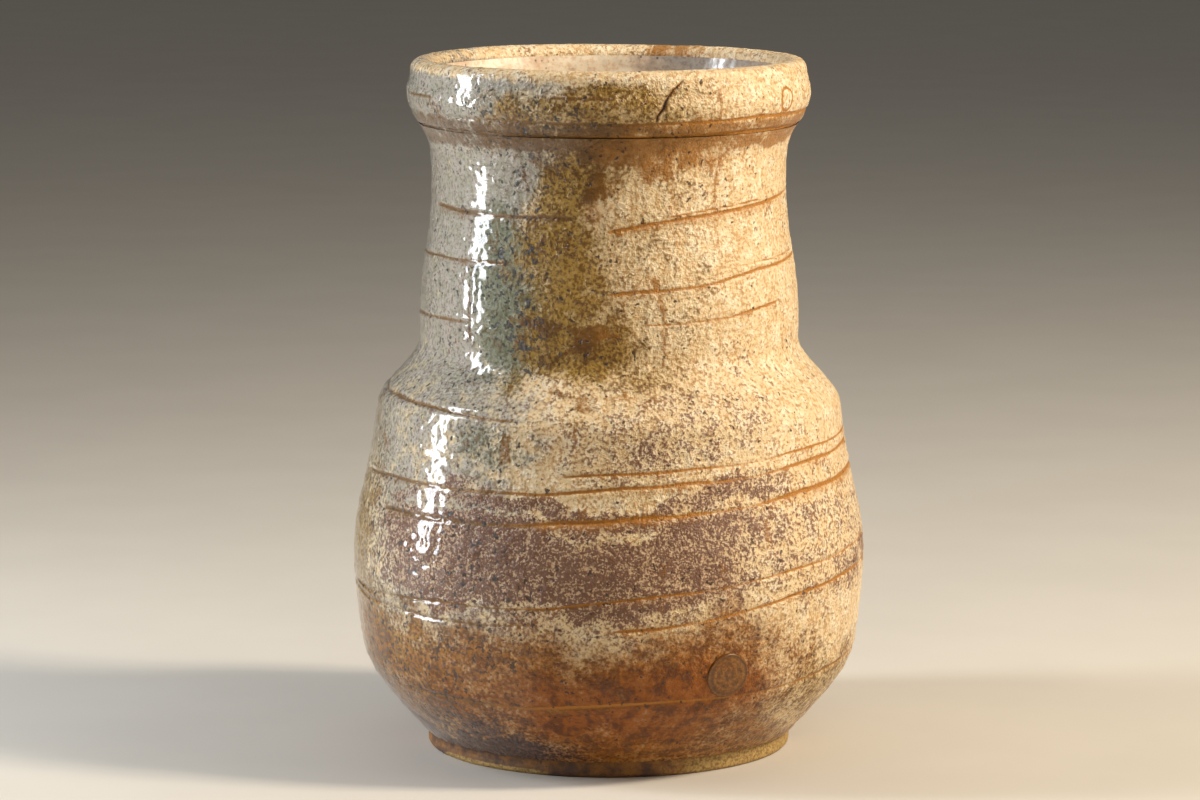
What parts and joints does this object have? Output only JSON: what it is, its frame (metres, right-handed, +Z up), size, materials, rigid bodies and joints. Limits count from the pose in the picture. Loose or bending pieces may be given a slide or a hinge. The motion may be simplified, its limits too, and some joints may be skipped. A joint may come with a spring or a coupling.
{
  "type": "pottery vase",
  "caption": "Hand-thrown stoneware vase with a round belly, straight neck, thick rim band and low foot ring, glazed inside and out, with a small pressed seal.",
  "frame": {"origin": "centre of the circle that the foot ring stands on", "axes": "+Z up along the axis of the pot, -Y towards the front, where the seal is a little to the right, +X to the right"},
  "size_m": [0.1558, 0.1558, 0.21],
  "materials": {
    "foot_clay": "bare iron-brown stoneware, rubbed and crusted with salt at its edge",
    "body_clay": "thrown stoneware clay under the glaze",
    "neck_clay": "thrown stoneware clay under the glaze",
    "rim_clay": "thrown stoneware clay under the glaze",
    "seal_clay": "pressed pad under a thin clear amber glaze",
    "outer_glaze": "glossy grey-green to peach salt-fired glaze with rust grooves and dark specks",
    "liner_glaze": "glossy cream-grey liner glaze with specks"
  },
  "bodies": {
    "root": {"foot_ring": "foot_clay", "body": "body_clay", "neck": "neck_clay", "rim_band": "rim_clay", "seal_pad": "seal_clay", "outer_glaze": "outer_glaze", "liner_glaze": "liner_glaze"}
  },
  "joints": []
}
